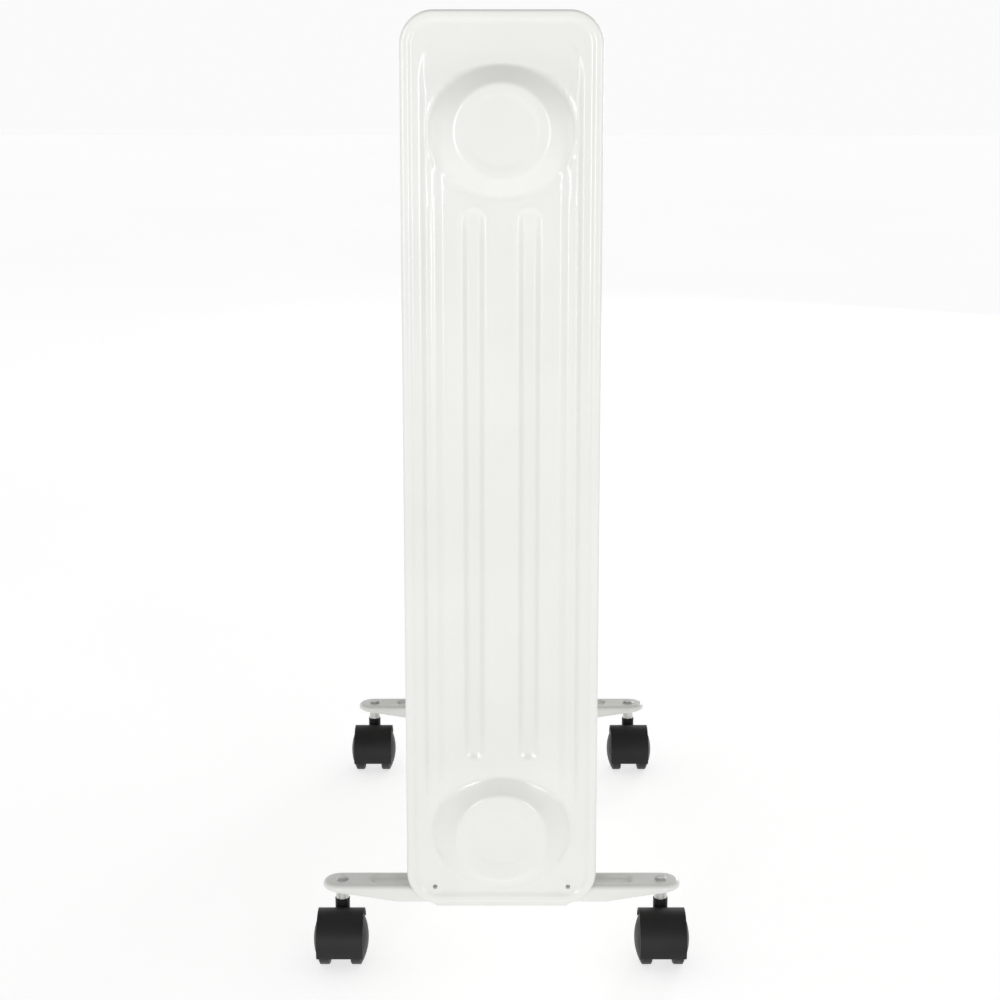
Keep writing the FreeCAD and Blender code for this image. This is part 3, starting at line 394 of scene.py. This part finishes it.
ENAMEL = enamel("white_enamel")
CAD_LOOKS = {
    "enamel": enamel("enamel_on_fittings", edges=SOFT_EDGE),
    "black_nylon": moulded("black_nylon", *BLACK, 0.5, gloss=0.3),
    "wheel_nylon": moulded("wheel_nylon", *WHEEL_BLACK, 0.46, gloss=0.3),
    "zinc_steel": metal("zinc_steel", *ZINC, 0.32),
    "element_sheath": metal("element_sheath", *SHEATH, 0.4, stretch=(1.0, 12.0, 1.0)),
    "flange_brass": metal("flange_brass", *BRASS, 0.3),
    "gasket_rubber": moulded("gasket_rubber", *RUBBER, 0.7, grain=900.0),
    "terminal_metal": metal("terminal_metal", *PALE_BRASS, 0.25),
    "galvanised_sheet": spangled_zinc(),
    "housing_plastic": moulded("housing_plastic", *SHELL_WHITE, 0.36, grain=1500.0, edges=0.001),
    "panel_plastic": moulded("panel_plastic", *PANEL_GREY, 0.34, grain=2200.0),
    "grip_plastic": moulded("grip_plastic", *GRIP_GREY, 0.5, grain=1300.0, depth=0.00007, edges=SOFT_EDGE),
    "switch_plastic": moulded("switch_plastic", *SWITCH_BLACK, 0.22),
    "lens": amber_lens(),
    "moulded_insulator": moulded("moulded_insulator", *CREAM, 0.4),
    "cutout_metal": metal("cutout_metal", *NICKEL, 0.3),
    "wire_insulation": moulded("wire_insulation", *WIRE_RED, 0.45),
}


def dress_cad_nodes():
    """Give every CAD node the procedural material of its slot."""
    slots = {part["node"]: part["material_slot"] for part in frame["record"]["subparts"]}
    for node, slot in slots.items():
        piece = bpy.data.objects[node]
        look = CAD_LOOKS[slot]
        if piece.material_slots:
            for holder in piece.material_slots:
                holder.material = look
        else:
            piece.data.materials.append(look)


# ---------------------------------------------------------------- camera, light and floor

def make_camera():
    data = bpy.data.cameras.new("camera")
    data.sensor_width = SENSOR_WIDTH
    data.lens = CAMERA_LENS
    data.shift_y = CAMERA_SHIFT
    data.clip_start = 0.05
    data.clip_end = 60.0
    camera = bpy.data.objects.new("camera", data)
    camera.location = CAMERA_PLACE
    camera.rotation_euler = (math.radians(90.0 - CAMERA_PITCH), 0.0, 0.0)
    bpy.context.scene.collection.objects.link(camera)
    bpy.context.scene.camera = camera


def soft_box(name, place, aim, size, power):
    data = bpy.data.lights.new(name, "AREA")
    data.shape = "RECTANGLE"
    data.size, data.size_y = size
    data.energy = power
    light = bpy.data.objects.new(name, data)
    light.location = place
    light.rotation_mode = "QUATERNION"
    light.rotation_quaternion = (Vector(aim) - Vector(place)).to_track_quat("-Z", "Y")
    bpy.context.scene.collection.objects.link(light)


def smooth_range(nodes, start, end, low=0.0, high=1.0):
    """A node that goes smoothly from low to high while its value goes from start to end."""
    node = nodes.new("ShaderNodeMapRange")
    node.interpolation_type = "SMOOTHSTEP"
    node.inputs["From Min"].default_value = start
    node.inputs["From Max"].default_value = end
    node.inputs["To Min"].default_value = low
    node.inputs["To Max"].default_value = high
    return node


def make_sky():
    """Dim ceiling over a pale surround, brightest at the horizon and behind the object."""
    world = bpy.data.worlds.new("studio")
    bpy.context.scene.world = world
    world.use_nodes = True
    nodes, links = world.node_tree.nodes, world.node_tree.links
    split = nodes.new("ShaderNodeSeparateXYZ")
    links.new(nodes.new("ShaderNodeTexCoord").outputs["Generated"], split.inputs["Vector"])
    around = smooth_range(nodes, 0.2, 0.7, SKY_FRONT, SKY_BACK)
    links.new(split.outputs["Y"], around.inputs["Value"])
    above_horizon = smooth_range(nodes, 0.06, 0.26)
    links.new(split.outputs["Z"], above_horizon.inputs["Value"])
    horizon = nodes.new("ShaderNodeMix")
    horizon.inputs["A"].default_value = SKY_BACK
    links.new(above_horizon.outputs["Result"], horizon.inputs["Factor"])
    links.new(around.outputs["Result"], horizon.inputs["B"])
    overhead = smooth_range(nodes, 0.4, 0.6)
    links.new(split.outputs["Z"], overhead.inputs["Value"])
    blend = nodes.new("ShaderNodeMix")
    links.new(overhead.outputs["Result"], blend.inputs["Factor"])
    links.new(horizon.outputs["Result"], blend.inputs["A"])
    blend.inputs["B"].default_value = CEILING
    links.new(blend.outputs["Result"], nodes["Background"].inputs["Strength"])
    nodes["Background"].inputs["Color"].default_value = (1.0, 1.0, 1.0, 1.0)


def make_floor():
    reach = FLOOR_REACH
    corners = [(-reach, -reach, 0), (reach, -reach, 0), (reach, reach, 0), (-reach, reach, 0)]
    floor = new_object("floor", corners, [(0, 1, 2, 3)], smooth=False)
    shader = Shader("floor", roughness=0.8)
    shader.colour(shader.noise(1.5), *FLOOR_GREY)
    shader.surface.inputs["Specular IOR Level"].default_value = 0.2
    shader.surface.inputs["Emission Color"].default_value = (1.0, 1.0, 1.0, 1.0)
    shader.surface.inputs["Emission Strength"].default_value = FLOOR_GLOW
    floor.data.materials.append(shader.material)


def make_studio():
    """Pale lit floor under the sky, two soft boxes in front and one behind."""
    bpy.context.scene.view_settings.view_transform = "Standard"
    make_sky()
    for name, place, aim, size, power in SOFT_BOXES:
        soft_box(name, place, aim, size, power)
    make_floor()


# ---------------------------------------------------------------- fins


def rim_offsets(spacing):
    """Distances across the rim's band, closer together towards the edge."""
    count = max(4, int(round(8 / spacing)))
    return [RIM_BAND * math.sin(math.pi / 2 * k / count) for k in range(1, count + 1)]


def half_width_lines(spacing):
    """Distances from the fin's centre line out to its edge."""
    flat = FIN_HALF_WIDTH - RIM_BAND
    count = int(round(flat / spacing))
    return [flat * k / count for k in range(count + 1)] + [flat + v for v in rim_offsets(spacing)]


def fin_axes(spacing):
    """Grid lines across and up a fin, finer at the bosses, the grooves' ends and the rim."""
    half = half_width_lines(spacing)
    across = np.array([-v for v in half[:0:-1]] + half)
    near = [v for v in half if v <= BOSS_GRID]
    ups = set()
    for centre in (UPPER_BOSS, LOWER_BOSS):
        ups.update(round(centre + sign * v, 4) for v in near for sign in (-1, 1))
    low, high = LOWER_BOSS + near[-1], UPPER_BOSS - near[-1]
    low_turn, high_turn = GROOVE_ENDS[0] + 18, GROOVE_ENDS[1] - 18
    ups.update(np.round(np.linspace(low, low_turn, int(24 / spacing)), 4))
    ups.update(np.round(np.linspace(low_turn, high_turn, 14), 4))
    ups.update(np.round(np.linspace(high_turn, high, int(24 / spacing)), 4))
    ups.update(np.round(np.linspace(UPPER_BOSS + near[-1], FIN_TOP - RIM_BAND, int(20 / spacing)), 4))
    for offset in rim_offsets(spacing):
        ups.add(round(FIN_TOP - RIM_BAND + offset, 4))
        ups.add(round(FIN_BOTTOM + RIM_BAND - offset, 4))
    ordered = sorted(v for v in ups if FIN_BOTTOM - 1e-6 <= v <= FIN_TOP + 1e-6)
    kept = [ordered[0]]
    for v in ordered[1:]:
        if v - kept[-1] > 0.12 * spacing:
            kept.append(v)
    kept[-1] = FIN_TOP
    kept[0] = FIN_BOTTOM
    return across, np.array(kept)


def bend_grid(x, z):
    """Turn squares round each boss into circles, and the fin's corners into arcs."""
    for centre in (UPPER_BOSS, LOWER_BOSS):
        dz = z - centre
        square = np.maximum(np.abs(x), np.abs(dz))
        round_ = np.hypot(x, dz)
        pull = ramp(49.0, 36.0, square)
        ratio = np.where(round_ > 1e-9, square / np.maximum(round_, 1e-9), 1.0)
        scale = 1.0 + (ratio - 1.0) * pull
        x, z = x * scale, centre + dz * scale
    p = np.clip((np.abs(x) - FIN_HALF_WIDTH + FIN_CORNER) / FIN_CORNER, 0, 1)
    q = np.clip((np.abs(z - FIN_MIDDLE) - FIN_HALF_HEIGHT + FIN_CORNER) / FIN_CORNER, 0, 1)
    corner = (p > 0) & (q > 0)
    new_x = np.sign(x) * (FIN_HALF_WIDTH - FIN_CORNER + FIN_CORNER * p * np.sqrt(1 - q * q / 2))
    new_z = FIN_MIDDLE + np.sign(z - FIN_MIDDLE) * (
        FIN_HALF_HEIGHT - FIN_CORNER + FIN_CORNER * q * np.sqrt(1 - p * p / 2)
    )
    return np.where(corner, new_x, x), np.where(corner, new_z, z)


def edge_distance(x, z):
    """Distance in from the fin's rounded outline."""
    qx = np.abs(x) - FIN_HALF_WIDTH + FIN_CORNER
    qz = np.abs(z - FIN_MIDDLE) - FIN_HALF_HEIGHT + FIN_CORNER
    outside = np.hypot(np.maximum(qx, 0), np.maximum(qz, 0))
    return np.maximum(FIN_CORNER - outside - np.minimum(np.maximum(qx, qz), 0), 0)


def hump(value, centre, width):
    """A smooth bump of height 1 at the centre."""
    return np.exp(-(((value - centre) / width) ** 2))


def boss_share(x, z, centre, half_width, half_height, depth):
    """0 outside a boss, 1 on its disc, and the shape of its skirt between them."""
    dz = z - centre
    r = np.hypot(x, dz)
    oval = np.hypot(x / half_width, dz / half_height)
    outer = np.where(r > 1e-6, r / np.maximum(oval, 1e-6), half_width)
    t = np.clip((outer - r) / (outer - DISC), 0, 1)
    if depth > END_BOSS_LIMIT:
        share = 1 - np.sqrt(np.clip(1 - t ** 1.7, 0, 1))
        return np.where(r < DISC - 1.0, 1.0, share * 0.97 + 0.03 * ramp(DISC, DISC - 1.0, r))
    base = np.where(t < 0.14, t * t / 0.28, t - 0.07) / 0.93
    edge = np.clip((DISC + 1.6 - r) / 3.4, 0, 1)
    rounded = base * (1 - edge) + edge * (0.9 + 0.1 * np.sin(edge * math.pi / 2))
    return np.where(edge > 0, rounded, base)


def step_profile(wide):
    """The chamber's side: an outer step, an inner step, and the creases beside them."""
    outer_step = OUTER_SHARE * ramp(*OUTER_STEP, wide)
    inner_step = (1 - OUTER_SHARE) * ramp(*INNER_STEP, wide)
    creases = sum(height * hump(wide, centre, width) for height, centre, width in CREASES)
    return outer_step, inner_step, creases


def chamber_height(x, z):
    """The raised oil chamber, which fades into the flange at its foot and beside the upper boss."""
    wide = np.abs(x) + STEPS_TURN_IN * np.maximum(z - STEPS_TURN_FROM, 0) ** 2
    outer_step, inner_step, creases = step_profile(wide)
    tall = ramp(*OUTER_STEP_TOP, z)
    height, centre, width = RIDGE
    ridge = height * hump(wide, centre, width) * ramp(*RIDGE_TOP, z) * (1 - tall)
    steps = outer_step * tall + ridge + (inner_step - creases) * ramp(*INNER_STEP_TOP, z)
    return FLANGE + (CHAMBER - FLANGE) * ramp(*CHAMBER_FOOT, z) * steps


def groove_height(x, z):
    """The two vertical grooves and the small lip round each, shallower towards their ends."""
    low_end, high_end = GROOVE_ENDS[0] + GROOVE_ROUND, GROOVE_ENDS[1] - GROOVE_ROUND
    beyond = np.maximum(np.maximum(low_end - z, z - high_end), 0)
    away = np.hypot(np.abs(x) - GROOVE_X, beyond)
    nearer_end = np.minimum(ramp(*GROOVE_FADE, z - low_end), ramp(*GROOVE_FADE, high_end - z))
    fading = GROOVE_END_SHARE + (1 - GROOVE_END_SHARE) * nearer_end
    return GROOVE_LIP * hump(away, GROOVE_LIP_RADIUS, 1.0) - GROOVE_DEPTH * fading * ramp(*GROOVE_WALL, away)


def face_height(x, z, depth):
    """How far a fin's face stands out from its seam, in millimetres."""
    e = edge_distance(x, z)
    h = chamber_height(x, z) + groove_height(x, z)
    for centre, half_width, half_height in SKIRTS:
        share = boss_share(x, z, centre, half_width, half_height, depth)
        h = h + (depth - h) * share
        oval = np.hypot(x / half_width, (z - centre) / half_height)
        sideways = ramp(*SKIRT_SIDES, np.abs(x))
        h = h - (SKIRT_CREASE + SKIRT_SIDE_CREASE * sideways) * hump(oval, 1.0 - 0.01 * sideways, 0.03)
    if depth < END_BOSS_LIMIT:
        for centre, ring in DISHES:
            h = h - DISH_DEPTH * ramp(ring + DISH_EDGE, ring - DISH_EDGE, np.hypot(x, z - centre))
    h = np.maximum(h, THINNEST)
    bead = np.where(e < RIM, np.sqrt(np.clip(1 - (1 - e / RIM) ** 2, 0, 1)) * RIM, RIM)
    inside = ramp(*RIM_BLEND, e)
    h = bead * (1 - inside) + h * inside
    dimple = np.hypot(np.abs(x) - FIXING_X, z - FIXING_Z)
    h = h + DIMPLE_HEIGHT * ramp(*DIMPLE_OUTSIDE, dimple) * ramp(*DIMPLE_INSIDE, dimple)
    return np.where(e <= 1e-6, 0.0, h)


def fin_mesh(name, spacing, front_depth, back_depth):
    """Closed mesh of a whole fin about its seam, with front and back sharing their edge."""
    across, ups = fin_axes(spacing)
    grid_x, grid_z = np.meshgrid(across, ups)
    x, z = bend_grid(grid_x, grid_z)
    rows, columns = x.shape
    edge = np.zeros(x.shape, bool)
    edge[0, :] = edge[-1, :] = edge[:, 0] = edge[:, -1] = True
    vertices, faces = [], []
    index = {}
    for side, depth in ((-1, front_depth), (1, back_depth)):
        h = np.where(edge, 0.0, face_height(x, z, depth))
        number = np.zeros(x.shape, int)
        for i in range(rows):
            for j in range(columns):
                if edge[i, j] and (i, j) in index:
                    number[i, j] = index[i, j]
                    continue
                number[i, j] = len(vertices)
                vertices.append((x[i, j] * MM, side * h[i, j] * MM, z[i, j] * MM))
                if edge[i, j]:
                    index[i, j] = number[i, j]
        for i in range(rows - 1):
            for j in range(columns - 1):
                quad = (number[i, j], number[i, j + 1], number[i + 1, j + 1], number[i + 1, j])
                faces.append(quad if side < 0 else quad[::-1])
    return new_object(name, vertices, faces)


def fixing_punch():
    """Two round punches for the holes in a fin's lower corners."""
    work = bmesh.new()
    radius = FIXING_RADIUS * MM
    turned = Matrix.Rotation(math.pi / 2, 4, "X")
    for sign in (-1, 1):
        place = Matrix.Translation((sign * FIXING_X * MM, 0.0, FIXING_Z * MM)) @ turned
        bmesh.ops.create_cone(
            work, cap_ends=True, segments=32, radius1=radius, radius2=radius, depth=0.02, matrix=place
        )
    mesh = bpy.data.meshes.new("punch")
    work.to_mesh(mesh)
    work.free()
    return place_mesh("punch", mesh)


def make_fins():
    """A finer near fin with its two holes, and one coarser pressing shared by the ten others."""
    first = fin_mesh("end_fin", FINE, END_BOSS_DEPTH, BOSS_DEPTH)
    cut_away(first, fixing_punch())
    first.location.y = seam(1)
    finish_piece(first, "radiator", ENAMEL, ["fin_01"])
    second = fin_mesh("pressed_fin_02", COARSE, BOSS_DEPTH, BOSS_DEPTH)
    for number in range(2, FIN_COUNT + 1):
        piece = second if number == 2 else place_mesh("pressed_fin_%02d" % number, second.data)
        piece.location.y = seam(number)
        finish_piece(piece, "radiator", ENAMEL, ["fin_%02d" % number])


# ---------------------------------------------------------------- feet


def slot_loop(half_length, half_width, height, straight=80, bend=16):
    """Points round a slot-shaped outline; height is a number or a function of x."""
    run = half_length - half_width
    points = [(-run + 2 * run * k / straight, -half_width) for k in range(straight)]
    for k in range(bend):
        angle = math.pi * (k / bend - 0.5)
        points.append((run + half_width * math.cos(angle), half_width * math.sin(angle)))
    points += [(-x, -y) for x, y in points]
    return [(x, y, height(x) if callable(height) else height) for x, y in points]


def skirt_edge(x):
    """Lower edge of the foot's skirt: deepest in the middle, and rising to the tips."""
    return float(np.interp(abs(x), SKIRT_STATIONS, SKIRT_EDGES))


def inset_loop(inset, height):
    return slot_loop(FOOT_HALF_LENGTH - inset, FOOT_HALF_WIDTH - inset, height)


def rib_loop(half_width, height):
    return slot_loop(RIB_RUN + half_width, half_width, height)


def foot_loops():
    """Loops over the outside of the foot, down into its rib, and back along its inside."""
    under = FOOT_TOP - FOOT_SHEET
    shoulder = FOOT_TOP - FOOT_SHOULDER
    loops = [inset_loop(0.0, skirt_edge), inset_loop(0.0, lambda x: max(shoulder, skirt_edge(x) + 0.2))]
    for k in range(1, SHOULDER_STEPS + 1):
        a = math.pi / 2 * k / SHOULDER_STEPS
        inset = FOOT_SHOULDER * (1 - math.cos(a))
        loops.append(inset_loop(inset, FOOT_TOP - FOOT_SHOULDER * (1 - math.sin(a))))
    loops += [rib_loop(half_width, FOOT_TOP - drop) for half_width, drop in RIB_ABOVE]
    loops.append(rib_loop(0.0, FOOT_TOP - RIB_DEPTH))
    loops.append(rib_loop(0.0, under - RIB_DEPTH))
    loops += [rib_loop(half_width, under - drop) for half_width, drop in RIB_BELOW]
    loops.append(inset_loop(3.5, under))
    loops.append(inset_loop(2.0, under - 0.6))
    loops.append(inset_loop(FOOT_SHEET, lambda x: max(under - 2.0, skirt_edge(x) + 0.1)))
    loops.append(inset_loop(FOOT_SHEET, skirt_edge))
    return loops


def loft_round(loops):
    """Quads between each loop and the next, and from the last loop back to the first."""
    count = len(loops[0])
    faces = []
    for ring in range(len(loops)):
        here, there = ring * count, (ring + 1) % len(loops) * count
        for k in range(count):
            after = (k + 1) % count
            faces.append((here + k, here + after, there + after, there + k))
    return [point for loop in loops for point in loop], faces


def saddle_tab(vertices, faces, y):
    """Upright tab hollowed to sit under the lower header."""
    first = len(vertices)
    steps = int(2 * TAB_HALF_WIDTH / TAB_STEP)
    for depth in (y, y + FOOT_SHEET):
        for k in range(steps + 1):
            x = -TAB_HALF_WIDTH + TAB_STEP * k
            crown = min(FOOT_TOP + TAB_HEIGHT, LOWER_BOSS - math.sqrt(SADDLE_RADIUS ** 2 - x * x))
            vertices.append((x, depth, FOOT_TOP - FOOT_SHEET - RIB_DEPTH))
            vertices.append((x, depth, crown))
    back = 2 * (steps + 1)
    for k in range(steps):
        a = first + 2 * k
        faces.append((a, a + 2, a + 3, a + 1))
        faces.append((a + back, a + back + 1, a + back + 3, a + back + 2))
        faces.append((a, a + back, a + back + 2, a + 2))
        faces.append((a + 1, a + 3, a + back + 3, a + back + 1))
    for a in (first, first + 2 * steps):
        faces.append((a, a + 1, a + back + 1, a + back))


def foot_mesh(name):
    vertices, faces = loft_round(foot_loops())
    for y in TAB_DEPTHS:
        saddle_tab(vertices, faces, y)
    piece = new_object(name, [(x * MM, y * MM, z * MM) for x, y, z in vertices], faces)
    crease(piece.data, 38)
    return piece


def make_feet():
    """Pressed feet with rounded shoulders and a recessed rib, in place of the plain channels."""
    nodes = ("front_foot_bracket", "rear_foot_bracket")
    front = foot_mesh("pressed_" + nodes[0])
    rear = place_mesh("pressed_" + nodes[1], front.data)
    for piece, node in zip((front, rear), nodes):
        low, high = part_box(node)
        piece.location.y = (low[1] + high[1]) / 2
        finish_piece(piece, "radiator", ENAMEL, [node])


# ---------------------------------------------------------------- marks on the control panel


def bar(vertices, faces, centre, along, length, width, y, thickness):
    """One raised bar on the panel, pointing along a direction in the XZ plane."""
    across = (-along[1], along[0])
    first = len(vertices)
    for depth in (0.0, thickness):
        for a, b in ((-1, -1), (1, -1), (1, 1), (-1, 1)):
            x = centre[0] + along[0] * a * length / 2 + across[0] * b * width / 2
            z = centre[1] + along[1] * a * length / 2 + across[1] * b * width / 2
            vertices.append((x, y + depth, z))
    for quad in ((0, 1, 2, 3), (7, 6, 5, 4), (0, 4, 5, 1), (1, 5, 6, 2), (2, 6, 7, 3), (3, 7, 4, 0)):
        faces.append(tuple(first + k for k in quad))


def add_ticks(vertices, faces, knob, face):
    for step in range(TICKS + 1):
        angle = math.radians(SCALE_START - SCALE_SWEEP / TICKS * step)
        along = (math.cos(angle), math.sin(angle))
        length = MARK_LENGTH if step % 5 == 0 else 0.003
        reach = TICK_REACH - length / 2
        centre = (knob[0] + along[0] * reach, knob[1] + along[1] * reach)
        bar(vertices, faces, centre, along, length, MARK_WIDTH, face, MARK_HEIGHT)


def add_wedge(vertices, faces, knob, face):
    for step in range(WEDGE_BARS):
        angle = math.radians(SCALE_START - SCALE_SWEEP / WEDGE_BARS * (step + 0.5))
        along = (math.sin(angle), -math.cos(angle))
        centre = (knob[0] + math.cos(angle) * WEDGE_REACH, knob[1] + math.sin(angle) * WEDGE_REACH)
        bar(vertices, faces, centre, along, 0.0031, 0.0004 + 0.00005 * step, face, MARK_HEIGHT)


def add_switch_marks(vertices, faces, face):
    for node, count in (("switch_body_low", 1), ("switch_body_high", 2)):
        low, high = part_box(node)
        for k in range(count):
            centre = ((low[0] + high[0]) / 2 + 0.0022 * (k - (count - 1) / 2), high[2] + 0.0048)
            bar(vertices, faces, centre, (0.0, 1.0), MARK_LENGTH, MARK_WIDTH, face, MARK_HEIGHT)


def make_panel_marks():
    """Scale round the knob with a wedge that grows with the heat, and one or two bars by each switch."""
    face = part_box("control_panel")[1][1]
    knob_low, knob_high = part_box("thermostat_knob")
    knob = ((knob_low[0] + knob_high[0]) / 2, (knob_low[2] + knob_high[2]) / 2)
    vertices, faces = [], []
    add_ticks(vertices, faces, knob, face)
    add_wedge(vertices, faces, knob, face)
    add_switch_marks(vertices, faces, face)
    marks = new_object("panel_marks", vertices, faces, smooth=False)
    finish_piece(marks, "radiator", CAD_LOOKS["housing_plastic"])


make_camera()
make_studio()
dress_cad_nodes()
make_fins()
make_feet()
make_panel_marks()
